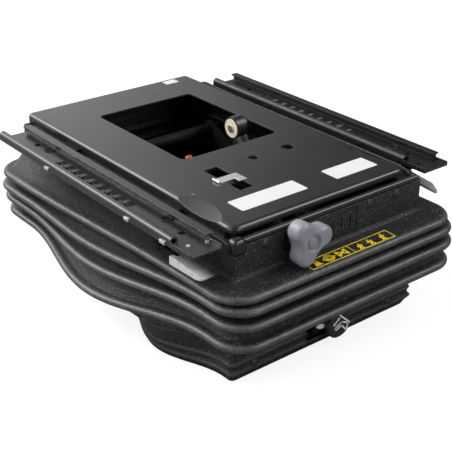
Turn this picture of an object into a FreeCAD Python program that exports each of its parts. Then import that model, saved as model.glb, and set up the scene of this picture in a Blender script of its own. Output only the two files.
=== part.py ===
import FreeCAD, Part
import math
import os

from FreeCAD import Vector

# Suspension unit of a tractor seat: a scissor between a base pan and an upper frame, a pressed top
# plate with two slide rails beside it, and a rubber bellows round the mechanism. Millimetres, Z up,
# X to the driver's right, Y rearwards. The origin is the centre of the base's four bolt holes.

os.makedirs("parts", exist_ok=True)

# Overall sizes
height = 180.0
sheet = 2.5
plate_width = 260.0
plate_length = 435.0
plate_front = -175.0
plate_flange = 15.0
plate_roll = 6.0
plate_front_corner = 13.0
plate_rear_corner = 6.5
front_edge_depth = 7.0

# Bead in front of the top plate
rim_y = -187.5
rim_drop = 9.0
rim_half = 132.0
rim_radius = 3.5

# Openings in the top plate
window_left = -63.0
window_right = 84.0
window_front = 2.0
window_rear = 189.0
window_corner = 8.0
slot_left = -62.5
slot_right = -43.0
slot_front = -105.0
slot_rear = -37.0
small_hole_x = 7.5
small_hole_radius = 6.0
large_hole_x = 61.6
large_hole_radius = 7.5
plate_holes_y = -42.5

# Pressed hollows in the side edges of the top plate
dip_y = -114.0
dip_length = 88.0
dip_width = 20.0
dip_depth = 6.0

# Base
base_width = 260.0
base_front = -178.0
base_rear = 180.0
base_flange = 28.0
base_bolt_x = 190.0
base_bolt_y = 270.0
base_bolt_radius = 5.5

# Scissor
travel_down = 50.0
arm_length = 280.0
arm_half_width = 12.0
arm_thickness = 5.0
inner_arm_x = 88.0
arm_gap = 3.0
pivot_y = 150.0
upper_pivot_drop = 42.0
pivot_radius = 8.0
pivot_clearance = 0.05
roller_radius = 11.0
roller_width = 13.0
roller_gap = 0.3
axle_radius = 6.0
cross_tube_radius = 10.0
cross_tube_wall = 2.0
cross_tube_share = 0.25
track_depth = 18.0

# Frame under the top plate
frame_half_width = 136.0
frame_front = -187.0
frame_rear = 252.0
frame_drop = 43.0
frame_flange = 16.0
frame_setback = 4.0

# Slide rails, both alike
rail_centre = 170.0
rail_front = -185.0
rail_length = 404.0
rail_lip_radius = 5.0
rail_half_width = 21.0
rail_floor_drop = 10.5
rail_sheet = 2.0
rail_lip_setback = 34.0
rail_notches = 9
rail_notch_pitch = 18.0
rail_notch_start = -50.0
rail_gap = 0.3
fixed_rail_half = 8.5
fixed_rail_depth = 25.0
fixed_rail_shift = 7.0
fixed_rail_setback = 40.0
slider_setback = 30.0
seat_bolt_radius = 4.25
seat_bolt_inset = 50.0

# Weight adjuster
knob_x = -56.0
spindle_drop = 22.0
spindle_radius = 5.0
knob_front = -219.0
knob_back = -199.0
knob_lobe_reach = 28.5
knob_hub_radius = 11.0
knob_waist = 17.0
knob_lobe_radius = 12.0
knob_turn = 8.0
knob_edge = 3.0
knob_recess_radius = 10.0
knob_window = 18.0
bush_radius = 6.8
crossbar_y = -46.0
crossbar_thickness = 12.0
spring_spread = 22.5
spring_length = 100.0
spring_radius = 11.0
spring_wire = 1.8
spring_turns = 7
spring_steps = 10
draw_rod_radius = 4.0

# Damper
damper_x = 73.0
damper_base_y = -60.0
damper_base_z = 20.0
damper_top_y = 71.0
damper_top_drop = 11.5
damper_eye_radius = 15.0
damper_eye_width = 16.0
damper_bush_radius = 12.5
damper_pin_radius = 5.0
damper_tube_radius = 9.5
damper_tube_length = 125.0
damper_rod_radius = 4.0
damper_rod_length = 110.0
damper_sleeve_radius = 13.0
damper_sleeve_length = 80.0
damper_gap = 1.5

# Bellows
rubber = 3.0
wall_half_width = 139.0
wall_front = -190.0
wall_rear = 256.0
wall_top_drop = 13.0
wall_bottom_drop = 51.0
skirt_half_width = 138.0
skirt_front = -184.0
skirt_rear = 184.0
skirt_bottom = 0.6
skirt_top = 46.0
skirt_bulge = 26.0
skirt_bulge_y = -78.0
skirt_bulge_half = 95.0
skirt_ridges = (20.0, 8.0)
wall_corner = 6.0

# Folds of the bellows, from the top one down
fold_z = (-56.5, -67.5, -84.5, -110.5)
fold_front = (-227.0, -233.0, -235.0, -233.0)
fold_rear = 263.0
fold_half_front = (172.0, 173.0, 173.0, 172.0)
fold_half_rear = (184.0, 187.0, 184.0, 180.0)
fold_bulge = (0.0, 12.0, 20.0, 32.0)
fold_sag = (0.0, 3.0, 6.0, 10.0)
fold_drop = (8.5, 14.5, 13.5, 8.5)
fold_corner = 38.0
fold_round = 4.0
fold_half_thickness = 4.0
fold_depth = 16.0
fold_bulge_y = 0.0
fold_bulge_half = 185.0
side_steps = 6
corner_steps = 4

# Rivets through the rubber
rivet_height = 2.2
rivet_shank = 1.5
wall_rivet_places = (-98.0, 54.5, 97.5)
wall_rivet_drop = 19.5
wall_rivet_radius = 5.8
base_rivet_places = (-105.0, 105.0)
base_rivet_z = 11.0
base_rivet_radius = 6.0

# Red cap on a tab in the window
cap_x = -35.0
cap_y = 28.0
cap_drop = 20.0

# Lower knob
lower_knob_x = 7.5
lower_knob_z = 25.5
lower_knob_front = -201.0
lower_knob_radius = 17.5
lower_knob_thickness = 8.0

# Latch levers under the rails
latch_pivot_y = -105.0
latch_pivot_drop = 33.0
left_latch_x = -168.0
right_latch_x = 173.0
latch_pin = 4.0
latch_pin_half = 8.0
fork_inside = 5.0
fork_outside = 7.0
latch_reach = 34.0
grip_length = 55.0
grip_half = 10.5
grip_shift = -2.0
grip_drop = 2.5
blade_length = 51.0
blade_half = 6.0

# Sizes that follow from those above
rim_z = height - rim_drop
upper_pivot_z = height - upper_pivot_drop
frame_bottom = height - frame_drop
spindle_z = height - spindle_drop
damper_top_z = height - damper_top_drop
wall_top = height - wall_top_drop
wall_bottom = height - wall_bottom_drop
wall_rivet_z = height - wall_rivet_drop
cap_z = height - cap_drop
latch_pivot_z = height - latch_pivot_drop
plate_rear = plate_front + plate_length
plate_half = plate_width / 2
plate_under = height - sheet
base_half = base_width / 2
lower_pivot_z = sheet + sheet + roller_gap + roller_radius
rise = upper_pivot_z - lower_pivot_z
reach = math.sqrt(arm_length ** 2 - rise ** 2)
front_y = pivot_y - reach
centre_y = pivot_y - reach / 2
centre_z = (upper_pivot_z + lower_pivot_z) / 2
outer_arm_x = inner_arm_x + arm_thickness + arm_gap
track_half = roller_radius + roller_gap
rail_rear = rail_front + rail_length
frame_top = height - plate_flange
frame_inside = frame_half_width - frame_flange
low_reach = math.sqrt(arm_length ** 2 - (rise - travel_down) ** 2)
roller_travel = low_reach - reach
track_front = front_y - roller_travel - roller_radius - 14
track_rear = pivot_y + 16
track_bottom = upper_pivot_z - track_half - sheet
track_top = upper_pivot_z + track_half + sheet
ear_x = outer_arm_x + arm_thickness + 2
spring_front = crossbar_y + crossbar_thickness / 2
spring_rear = spring_front + spring_length


def box(x0, x1, y0, y1, z0, z1):
    corner = Vector(min(x0, x1), min(y0, y1), min(z0, z1))
    return Part.makeBox(abs(x1 - x0), abs(y1 - y0), abs(z1 - z0), corner)


def rod(x, y, z, radius, length, axis):
    return Part.makeCylinder(radius, length, Vector(x, y, z), axis)


def rod_x(x0, x1, y, z, radius):
    return rod(min(x0, x1), y, z, radius, abs(x1 - x0), Vector(1, 0, 0))


def rod_y(y0, y1, x, z, radius):
    return rod(x, min(y0, y1), z, radius, abs(y1 - y0), Vector(0, 1, 0))


def rod_z(z0, z1, x, y, radius):
    return rod(x, y, min(z0, z1), radius, abs(z1 - z0), Vector(0, 0, 1))


def join(shapes):
    whole = shapes[0]
    for shape in shapes[1:]:
        whole = whole.fuse(shape)
    return whole.removeSplitter()


def mirrored(shape):
    return shape.mirror(Vector(0, 0, 0), Vector(1, 0, 0))


def both_sides(shape):
    return Part.makeCompound([mirrored(shape), shape])


def outline_yz(points, x0, x1):
    corners = [Vector(x0, y, z) for y, z in points]
    face = Part.Face(Part.makePolygon(corners + corners[:1]))
    return face.extrude(Vector(x1 - x0, 0, 0))


def round_edges(shape, radius, chosen):
    edges = [edge for edge in shape.Edges if chosen(edge)]
    return shape.makeFillet(radius, edges)


def bevel_edges(shape, size, chosen):
    edges = [edge for edge in shape.Edges if chosen(edge)]
    return shape.makeChamfer(size, edges)


def upright(edge):
    box_of_edge = edge.BoundBox
    return box_of_edge.ZLength > 1 and box_of_edge.XLength < 0.01 and box_of_edge.YLength < 0.01


def save(name, shape):
    shape.exportStep("parts/" + name + ".step")


# Top plate

def plate_block(inset, drop):
    """The plate's outer form, or with an inset its hollow."""
    bottom = height - plate_flange - (sheet if inset else 0)
    block = box(
        -plate_half + inset,
        plate_half - inset,
        plate_front + inset,
        plate_rear - inset,
        bottom,
        height - drop,
    )
    block = round_edges(block, plate_front_corner - inset, lambda edge: upright(edge) and edge.BoundBox.YMax < 0)
    block = round_edges(block, plate_rear_corner - inset, lambda edge: upright(edge) and edge.BoundBox.YMin > 0)
    top = height - drop - 0.01
    return round_edges(block, plate_roll - inset, lambda edge: edge.BoundBox.ZMin > top)


def dip_tool(side, growth):
    """A large cylinder, tilted outwards, that presses a shallow dish into the side edge."""
    tilt = math.atan(dip_depth / dip_width)
    depth = dip_depth * math.cos(tilt)
    radius = ((dip_length / 2) ** 2 + depth ** 2) / (2 * depth)
    run = Vector(side * math.cos(tilt), 0, -math.sin(tilt))
    away = Vector(side * math.sin(tilt), 0, math.cos(tilt))
    start = Vector(side * (plate_half - dip_width), dip_y, height) + away * radius - run * dip_width / 2
    return Part.makeCylinder(radius + growth, 2.5 * dip_width, start, run)


def top_plate():
    skin = plate_block(0, 0)
    hollow = plate_block(sheet, sheet)
    for side in (-1, 1):
        skin = skin.cut(dip_tool(side, 0))
        hollow = hollow.cut(dip_tool(side, sheet))
    plate = skin.cut(hollow)
    window = box(window_left, window_right, window_front, window_rear, plate_under - 5, height + 5)
    window = round_edges(window, window_corner, upright)
    slot = box(slot_left, slot_right, slot_front, slot_rear, plate_under - 5, height + 5)
    front_gap = box(
        -plate_half - 1,
        plate_half + 1,
        plate_front - 1,
        plate_front + plate_front_corner,
        height - plate_flange - 1,
        height - front_edge_depth,
    )
    rear_gap = box(
        -plate_half - 1,
        plate_half + 1,
        wall_rear - rubber - 1,
        plate_rear + 1,
        height - plate_flange - 1,
        wall_top + 0.5,
    )
    small = rod_z(plate_under - 5, height + 5, small_hole_x, plate_holes_y, small_hole_radius)
    large = rod_z(plate_under - 5, height + 5, large_hole_x, plate_holes_y, large_hole_radius)
    for opening in (window, slot, front_gap, rear_gap, small, large):
        plate = plate.cut(opening)
    return plate


def slot_clip():
    """A zinc strip folded over the slot, with a rolled end and a flap."""
    middle = (slot_front + slot_rear) / 2
    strip = box(slot_left - 8, slot_right + 5, middle - 7, middle + 5, height, height + 1.2)
    roll = rod_y(middle - 7, middle + 5, slot_left - 8, height + 1.6, 1.6)
    flap = box(slot_right - 6, slot_right + 5, middle - 15, middle - 7, height, height + 1.2)
    tongue = box(slot_left + 3, slot_right - 3, middle - 5, middle + 3, plate_under - 4, height + 0.1)
    return join([strip, roll, flap, tongue])


def front_rim():
    """A round bead in front of the plate's edge, on an upright strip."""
    bead = rod_x(-rim_half, rim_half, rim_y, rim_z, rim_radius)
    half = rim_half - 4
    back = frame_front + 0.1
    web = box(-half, half, back, back + sheet, frame_top, rim_z)
    return join([bead, web])


# Frame under the plate

def channel_along_y(side):
    outer = box(
        side * frame_inside,
        side * frame_half_width,
        frame_front + frame_setback,
        frame_rear - frame_setback,
        frame_bottom,
        frame_top,
    )
    hollow = box(
        side * (frame_inside - 1),
        side * (frame_half_width - sheet),
        frame_front - 1,
        frame_rear + 1,
        frame_bottom + sheet,
        frame_top - sheet,
    )
    return outer.cut(hollow)


def cross_channel(y_web, y_open):
    """A channel between the side members, its web at y_web and its flanges towards y_open."""
    step = math.copysign(1, y_open - y_web)
    outer = box(-frame_inside, frame_inside, y_web, y_open, frame_bottom, frame_top)
    hollow = box(
        -frame_inside - 1,
        frame_inside + 1,
        y_web + step * sheet,
        y_open + step,
        frame_bottom + sheet,
        frame_top - sheet,
    )
    return outer.cut(hollow)


def upper_track(side):
    inner = frame_inside - track_depth
    outer = box(side * inner, side * frame_inside, track_front, track_rear, track_bottom, track_top)
    hollow = box(
        side * (inner - 1),
        side * (frame_inside - sheet),
        track_front - 1,
        track_rear + 1,
        track_bottom + sheet,
        track_top - sheet,
    )
    track = outer.cut(hollow)
    return track.cut(rod_x(side * inner, side * (frame_inside + 1), pivot_y, upper_pivot_z, pivot_radius))


def end_buffers():
    """Rubber blocks in the upper tracks that stop the rollers at both ends of their travel."""
    inner = frame_inside - track_depth
    blocks = []
    for y0, y1 in (
        (front_y + roller_radius + rail_gap, front_y + roller_radius + 10),
        (track_front + 1, front_y - roller_travel - roller_radius - rail_gap),
    ):
        blocks.append(
            box(inner + 1, frame_inside - sheet, y0, y1, track_bottom + sheet, track_top - sheet)
        )
    return Part.makeCompound(blocks + [mirrored(block) for block in blocks])


# Base

def base_pan():
    outer = box(-base_half, base_half, base_front, base_rear, 0, base_flange)
    outer = round_edges(outer, 6.0, upright)
    hollow = box(
        -base_half + sheet, base_half - sheet, base_front + sheet, base_rear - sheet, sheet, base_flange + 1
    )
    hollow = round_edges(hollow, 6.0 - sheet, upright)
    pan = outer.cut(hollow)
    for x in (-base_bolt_x / 2, base_bolt_x / 2):
        for y in (-base_bolt_y / 2, base_bolt_y / 2):
            pan = pan.cut(rod_z(-1, sheet + 1, x, y, base_bolt_radius))
    return pan


def lower_track(side):
    outside = inner_arm_x - 1
    web = outside - track_depth
    z0 = sheet
    z1 = lower_pivot_z + track_half + sheet
    y0 = front_y - roller_travel - roller_radius - 8
    y1 = front_y + roller_radius + 8
    outer = box(side * web, side * outside, y0, y1, z0, z1)
    hollow = box(side * (web + sheet), side * (outside + 1), y0 - 1, y1 + 1, z0 + sheet, z1 - sheet)
    axle_slot = box(
        side * (web - 1),
        side * (web + sheet + 1),
        front_y - roller_travel - axle_radius - 3,
        front_y + axle_radius + 3,
        lower_pivot_z - axle_radius - 1.5,
        lower_pivot_z + axle_radius + 1.5,
    )
    return outer.cut(hollow).cut(axle_slot)


def lower_pivot_ears():
    side = outline_yz(
        [
            (pivot_y - 22, sheet),
            (pivot_y + 22, sheet),
            (pivot_y + 10, lower_pivot_z + 14),
            (pivot_y - 10, lower_pivot_z + 14),
        ],
        ear_x,
        ear_x + 3,
    )
    foot = box(ear_x, ear_x + 18, pivot_y - 22, pivot_y + 22, sheet, sheet + 3)
    ear = join([side, foot])
    ear = ear.cut(rod_x(ear_x - 1, ear_x + 4, pivot_y, lower_pivot_z, pivot_radius))
    return both_sides(ear)


# Scissor

def arm_plate(x, rear, front):
    """A flat bar with round ends between two points given as (y, z)."""
    y0, z0 = rear
    y1, z1 = front
    length = math.hypot(y1 - y0, z1 - z0)
    ny = -(z1 - z0) / length * arm_half_width
    nz = (y1 - y0) / length * arm_half_width
    bar = outline_yz(
        [(y0 + ny, z0 + nz), (y1 + ny, z1 + nz), (y1 - ny, z1 - nz), (y0 - ny, z0 - nz)],
        x,
        x + arm_thickness,
    )
    ends = [rod_x(x, x + arm_thickness, y, z, arm_half_width) for y, z in (rear, front)]
    return join([bar] + ends)


def scissor_frame(x, rear, front, rear_bore, front_bore, centre_bore):
    y0, z0 = rear
    y1, z1 = front
    arm = arm_plate(x, rear, front)
    arm = arm.cut(rod_x(x - 1, x + arm_thickness + 1, y0, z0, rear_bore))
    arm = arm.cut(rod_x(x - 1, x + arm_thickness + 1, y1, z1, front_bore))
    arm = arm.cut(rod_x(x - 1, x + arm_thickness + 1, centre_y, centre_z, centre_bore))
    y = y0 + (y1 - y0) * cross_tube_share
    z = z0 + (z1 - z0) * cross_tube_share
    tube = rod_x(-x, x, y, z, cross_tube_radius)
    tube = tube.cut(rod_x(-x, x, y, z, cross_tube_radius - cross_tube_wall))
    return join([mirrored(arm), tube, arm])


def centre_pins():
    x0 = inner_arm_x - 2
    x1 = outer_arm_x + arm_thickness
    pin = rod_x(x0, x1, centre_y, centre_z, pivot_radius)
    collar = rod_x(
        inner_arm_x + arm_thickness + 0.1, outer_arm_x, centre_y, centre_z, arm_half_width
    )
    head = rod_x(inner_arm_x - 4, inner_arm_x - 0.3, centre_y, centre_z, pivot_radius + 3)
    return both_sides(join([pin, collar, head]))


def roller(x, y, z):
    wheel = rod_x(x, x + roller_width, y, z, roller_radius)
    return wheel.cut(rod_x(x - 1, x + roller_width + 1, y, z, axle_radius))


# Rails

def rail_parts(centre):
    """Fixed rail, slider and seat channel of one slide, all open channels along Y."""
    top = height
    floor_top = top - rail_floor_drop + rail_sheet
    floor_bottom = floor_top - rail_sheet
    web_bottom = floor_bottom - sheet
    flange_top = web_bottom - rail_gap
    flange_bottom = flange_top - sheet
    hook_top = flange_bottom - rail_gap
    hook_bottom = hook_top - sheet
    left = centre - rail_half_width
    right = centre + rail_half_width - 2

    middle = centre + fixed_rail_shift

    def run(x0, x1, z0, z1, setback):
        return box(middle + x0, middle + x1, rail_front + setback, rail_rear, z0, z1)

    tube_x = left + rail_lip_radius
    tube_z = top - rail_lip_radius
    lip = rod_y(rail_front + rail_lip_setback, rail_rear, tube_x, tube_z, rail_lip_radius)
    bore = rod_y(rail_front - 1, rail_rear + 1, tube_x, tube_z, rail_lip_radius - rail_sheet)
    side = box(left, left + rail_sheet, rail_front, rail_rear, floor_bottom, tube_z)
    floor = box(left, right, rail_front, rail_rear, floor_bottom, floor_top)
    wall = box(right - rail_sheet, right, rail_front + 18, rail_rear, floor_bottom, top)
    wall_low = box(right - rail_sheet, right, rail_front, rail_front + 18, floor_bottom, top - 5)
    flange = box(right - rail_sheet - 4, right + 3.5, rail_front + 18, rail_rear, top - rail_sheet, top)
    channel = join([floor, side, lip, wall, wall_low, flange]).cut(bore)
    for k in range(rail_notches):
        y = rail_notch_start + k * rail_notch_pitch
        channel = channel.cut(box(centre - 11, centre - 1, y, y + 11, floor_bottom - 1, floor_top + 1))
    for y in (rail_front + seat_bolt_inset, rail_rear - seat_bolt_inset):
        channel = channel.cut(rod_z(floor_bottom - 1, floor_top + 1, centre + 6, y, seat_bolt_radius))

    slider_half = fixed_rail_half + 3.5
    slider = [run(-slider_half, slider_half, web_bottom, floor_bottom, slider_setback)]
    for s in (-1, 1):
        edge = s * slider_half
        hook = s * (fixed_rail_half - 2 + rail_gap)
        slider.append(run(edge - s * sheet, edge, hook_bottom, floor_bottom, slider_setback))
        slider.append(run(hook, edge, hook_bottom, hook_top, slider_setback))
    slider = join(slider)
    for y in (rail_front + seat_bolt_inset, rail_rear - seat_bolt_inset):
        slider = slider.cut(rod_z(web_bottom - 1, floor_bottom + 1, centre + 6, y, seat_bolt_radius))

    bottom = top - fixed_rail_depth
    web_half = fixed_rail_half - 2
    fixed = [run(-web_half, web_half, bottom, bottom + sheet, fixed_rail_setback)]
    for s in (-1, 1):
        inside = s * (web_half - sheet)
        lip = s * (fixed_rail_half + 0.7)
        fixed.append(run(inside, s * web_half, bottom, flange_top, fixed_rail_setback))
        fixed.append(run(inside, lip, flange_bottom, flange_top, fixed_rail_setback))
    fixed = join(fixed)
    return fixed, slider, channel


def rail_brackets(side):
    """Two folded straps that carry a fixed rail outside the bellows wall."""
    strap = 3.0
    top = height - 8.0
    outside = wall_half_width + 2.5
    bottom = height - fixed_rail_depth
    reach_out = abs(side * rail_centre + fixed_rail_shift) + 5
    straps = []
    for y in (rail_front + 95, rail_rear - 95):
        arm = box(side * plate_half, side * (outside + strap), y, y + 30, top - strap, top)
        leg = box(side * outside, side * (outside + strap), y, y + 30, bottom - strap, top)
        foot = box(side * outside, side * reach_out, y, y + 30, bottom - strap, bottom)
        straps.append(join([arm, leg, foot]))
    return Part.makeCompound(straps)


def rail_fasteners(centre):
    """Bright rivets at the front of the seat channel and clips under its outer edge."""
    floor_top = height - rail_floor_drop + rail_sheet
    heads = []
    for dx, dy in ((-7, 22), (14, 18)):
        heads.append(rod_z(floor_top, floor_top + 1.2, centre + dx, rail_front + dy, 2.2))
    left = centre - rail_half_width
    for y in (rail_front + 42, rail_front + 108, rail_front + 279):
        heads.append(box(left - 1.5, left, y, y + 9, height - 10.5, height - 7))
    return Part.makeCompound(heads)


# Latch levers

def latch_ear(x):
    ear = box(
        x - 4,
        x + 4,
        latch_pivot_y - 8,
        latch_pivot_y + 8,
        latch_pivot_z - 8,
        height - fixed_rail_depth,
    )
    return ear.cut(rod_x(x - 5, x + 5, latch_pivot_y, latch_pivot_z, latch_pin + pivot_clearance))


def latch_fork(x):
    """A pivot pin with an arm on each side of the ear."""
    shapes = [rod_x(x - latch_pin_half, x + latch_pin_half, latch_pivot_y, latch_pivot_z, latch_pin)]
    for s in (-1, 1):
        shapes.append(
            box(
                x + s * fork_inside,
                x + s * fork_outside,
                latch_pivot_y - latch_reach,
                latch_pivot_y + 5,
                latch_pivot_z - 5,
                latch_pivot_z + 3,
            )
        )
    return shapes


def left_latch_lever():
    x = left_latch_x
    bridge = box(
        x - fork_outside,
        x + fork_outside,
        latch_pivot_y - latch_reach,
        latch_pivot_y - latch_reach + 6,
        latch_pivot_z - 5,
        latch_pivot_z + 3,
    )
    return join(latch_fork(x) + [bridge])


def right_latch_lever():
    """A fork that runs out in a slender blade, pointed at its outer side."""
    x = right_latch_x
    y0 = latch_pivot_y - latch_reach
    blade = outline_yz(
        [
            (y0 + 6, latch_pivot_z + 3),
            (y0 - 20, latch_pivot_z),
            (y0 - blade_length, latch_pivot_z - 3),
            (y0 - blade_length, latch_pivot_z - 6),
            (y0 - 20, latch_pivot_z - 4),
            (y0 + 6, latch_pivot_z - 1),
        ],
        x - fork_outside,
        x + fork_outside,
    )
    beside = box(x + blade_half, x + 20, y0 - blade_length - 1, y0 - 1, latch_pivot_z - 10, latch_pivot_z + 10)
    tip = y0 - blade_length
    taper = Part.Face(
        Part.makePolygon(
            [
                Vector(x - fork_outside + 3, tip - 1, latch_pivot_z - 10),
                Vector(x + 20, tip - 1, latch_pivot_z - 10),
                Vector(x + 20, y0 - 10, latch_pivot_z - 10),
                Vector(x - fork_outside + 3, tip - 1, latch_pivot_z - 10),
            ]
        )
    )
    blade = blade.cut(beside).cut(taper.extrude(Vector(0, 0, 20)))
    return join(latch_fork(x) + [blade])


def latch_grip():
    """A flat paddle that slopes down towards the driver, pushed on the lever."""
    x = left_latch_x
    y1 = latch_pivot_y - latch_reach + 5
    y0 = y1 - grip_length
    z = latch_pivot_z + 2.5
    grip = outline_yz(
        [
            (y1, z),
            (y1 - 8, z + 0.5),
            (y0 + 10, z - grip_drop + 1),
            (y0, z - grip_drop - 1),
            (y0, z - grip_drop - 3),
            (y0 + 10, z - 8),
            (y1, z - 9.5),
        ],
        x + grip_shift - grip_half,
        x + grip_shift + grip_half,
    )
    grip = round_edges(grip, 4.0, lambda edge: upright(edge) and edge.BoundBox.YMax < y0 + 1)
    socket = box(
        x - fork_outside - rail_gap,
        x + fork_outside + rail_gap,
        y1 - 6,
        y1 + 1,
        latch_pivot_z - 5 - rail_gap,
        z + 2,
    )
    return grip.cut(socket)


# Weight adjuster

def lobed_outline(y):
    """Three round lobes joined by hollow waists, a closed line of tangent arcs."""
    out = knob_lobe_reach - knob_lobe_radius
    lobe = knob_lobe_radius
    waist = knob_waist
    hollow = (out ** 2 + waist ** 2 - out * waist - lobe ** 2) / (2 * lobe + out - 2 * waist)
    far = waist + hollow

    def at(distance, degrees):
        angle = math.radians(degrees + knob_turn)
        return Vector(knob_x + distance * math.cos(angle), y, spindle_z + distance * math.sin(angle))

    def joint(lobe_turn, waist_turn):
        centre = at(out, lobe_turn)
        return centre + (at(far, waist_turn) - centre) * (lobe / (lobe + hollow))

    arcs = []
    for k in range(3):
        turn = 120 * k
        before = joint(turn, turn - 60)
        after = joint(turn, turn + 60)
        following = joint(turn + 120, turn + 60)
        arcs.append(Part.Arc(before, at(out + lobe, turn), after).toShape())
        arcs.append(Part.Arc(after, at(waist, turn + 60), following).toShape())
    return Part.Face(Part.Wire(arcs))


def weight_knob():
    body = lobed_outline(knob_front).extrude(Vector(0, knob_back - knob_front, 0))
    front = knob_front + 0.01
    body = bevel_edges(body, knob_edge, lambda edge: edge.BoundBox.YMax < front)
    hub = rod_y(knob_back - 1, wall_front - 0.5, knob_x, spindle_z, knob_hub_radius)
    recess = rod_y(knob_front - 1, knob_front + 1.5, knob_x, spindle_z, knob_recess_radius)
    island = rod_y(knob_front + 0.4, knob_front + 2, knob_x, spindle_z, knob_recess_radius - 2)
    bore = rod_y(knob_back - 8, wall_front + 1, knob_x, spindle_z, spindle_radius)
    return join([body.cut(recess), hub, island]).cut(bore)


def spindle():
    return rod_y(knob_back - 8, crossbar_y + 16, knob_x, spindle_z, spindle_radius)


def spindle_bush():
    bush = rod_y(frame_front, frame_front + 6, knob_x, spindle_z, bush_radius)
    return bush.cut(rod_y(frame_front - 2, frame_front + 8, knob_x, spindle_z, spindle_radius + pivot_clearance))


def spring_crossbar():
    half = spring_spread + 12
    bar = box(
        knob_x - half,
        knob_x + half,
        crossbar_y - crossbar_thickness / 2,
        crossbar_y + crossbar_thickness / 2,
        upper_pivot_z - 10,
        spindle_z + 9,
    )
    for s in (-1, 1):
        bar = bar.cut(
            box(knob_x + s * 15, knob_x + s * (half + 1), crossbar_y - 20, crossbar_y + 20, spindle_z - 9, 200)
        )
        bar = bar.cut(
            rod_y(crossbar_y - 20, crossbar_y + 20, knob_x + s * spring_spread, upper_pivot_z, draw_rod_radius + 1)
        )
    bore = rod_y(crossbar_y - 20, crossbar_y + 20, knob_x, spindle_z, spindle_radius + pivot_clearance)
    return bar.cut(bore)


def draw_rods():
    """Eye bolts that hook round the upper axle and pull the springs together."""
    rods = []
    for s in (-1, 1):
        x = knob_x + s * spring_spread
        eye = rod_x(x - 5, x + 5, front_y, upper_pivot_z, axle_radius + 5)
        shank = rod_y(front_y + axle_radius, spring_rear + 9, x, upper_pivot_z, draw_rod_radius)
        bore = rod_x(x - 6, x + 6, front_y, upper_pivot_z, axle_radius + 1.3)
        rods.append(join([eye, shank]).cut(bore))
    return Part.makeCompound(rods)


def draw_rod_nuts():
    nuts = []
    for s in (-1, 1):
        x = knob_x + s * spring_spread
        washer = rod_y(spring_rear, spring_rear + 2.5, x, upper_pivot_z, spring_radius)
        corners = []
        for k in range(7):
            angle = math.radians(60 * k)
            corners.append(
                Vector(x + 7.5 * math.cos(angle), spring_rear + 2.5, upper_pivot_z + 7.5 * math.sin(angle))
            )
        nut = Part.Face(Part.makePolygon(corners)).extrude(Vector(0, 6, 0))
        bore = rod_y(spring_rear - 1, spring_rear + 10, x, upper_pivot_z, draw_rod_radius)
        nuts.append(join([washer, nut]).cut(bore))
    return Part.makeCompound(nuts)


def spring_coil():
    """A coil along Z from the origin, of short straight pieces with a six-sided section."""
    path_radius = spring_radius - spring_wire
    length = spring_length - 2 * spring_wire - 0.4
    path = []
    for k in range(spring_turns * spring_steps + 1):
        angle = 2 * math.pi * k / spring_steps
        height_here = length * k / (spring_turns * spring_steps)
        path.append(
            Vector(path_radius * math.cos(angle), path_radius * math.sin(angle), height_here)
        )
    corners = []
    for k in range(7):
        angle = math.radians(60 * k)
        corners.append(
            Vector(path_radius + spring_wire * math.cos(angle), 0, spring_wire * math.sin(angle))
        )
    return Part.makePolygon(path).makePipeShell([Part.makePolygon(corners)], True, False, 1)


def springs():
    coils = []
    for s in (-1, 1):
        coil = spring_coil()
        coil.rotate(Vector(0, 0, 0), Vector(1, 0, 0), -90)
        coil.translate(Vector(knob_x + s * spring_spread, spring_front + spring_wire + 0.2, upper_pivot_z))
        coils.append(coil)
    return Part.makeCompound(coils)


# Damper

damper_length = math.hypot(damper_top_y - damper_base_y, damper_top_z - damper_base_z)
damper_run = Vector(
    0,
    (damper_top_y - damper_base_y) / damper_length,
    (damper_top_z - damper_base_z) / damper_length,
)


def along_damper(start, end, radius):
    """A cylinder on the damper's axis, between two distances from its lower eye."""
    foot = Vector(damper_x, damper_base_y, damper_base_z) + damper_run * start
    return Part.makeCylinder(radius, end - start, foot, damper_run)


def damper_eye(y, z, radius, grow=0):
    half = damper_eye_width / 2 + grow
    return rod_x(damper_x - half, damper_x + half, y, z, radius)


def damper_tube():
    eye = damper_eye(damper_base_y, damper_base_z, damper_eye_radius)
    body = along_damper(8, damper_tube_length, damper_tube_radius)
    hollow = along_damper(22, damper_tube_length + 1, damper_tube_radius - 2)
    bore = damper_eye(damper_base_y, damper_base_z, damper_bush_radius, 1)
    return join([eye, body]).cut(hollow).cut(bore)


def damper_rod():
    eye = damper_eye(damper_top_y, damper_top_z, damper_eye_radius)
    shank = along_damper(damper_length - damper_rod_length, damper_length - 9, damper_rod_radius)
    bore = damper_eye(damper_top_y, damper_top_z, damper_bush_radius, 1)
    return join([eye, shank]).cut(bore)


def damper_sleeve():
    start = damper_length - damper_sleeve_length
    end = damper_length - damper_eye_radius - 1.5
    tube = along_damper(start, end, damper_sleeve_radius)
    hollow = along_damper(start - 1, end - 2, damper_sleeve_radius - 1)
    return tube.cut(hollow).cut(along_damper(end - 3, end + 1, damper_rod_radius))


def damper_bush(y, z):
    ring = damper_eye(y, z, damper_bush_radius, 0.8)
    return ring.cut(damper_eye(y, z, damper_pin_radius + pivot_clearance, 2))


def damper_top_bracket():
    x = damper_x + damper_sleeve_radius + damper_gap
    plate = box(x, x + 4, damper_top_y - 15, damper_top_y + 15, damper_top_z - 12, plate_under)
    foot = box(x, x + 22, damper_top_y - 15, damper_top_y + 15, plate_under - sheet, plate_under)
    return join([plate, foot]).cut(rod_x(x - 1, x + 5, damper_top_y, damper_top_z, damper_pin_radius))


def damper_top_pin():
    x = damper_x - damper_eye_width / 2 - 2.5
    end = damper_x + damper_sleeve_radius + damper_gap + 5
    return rod_x(x, end, damper_top_y, damper_top_z, damper_pin_radius)


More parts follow.
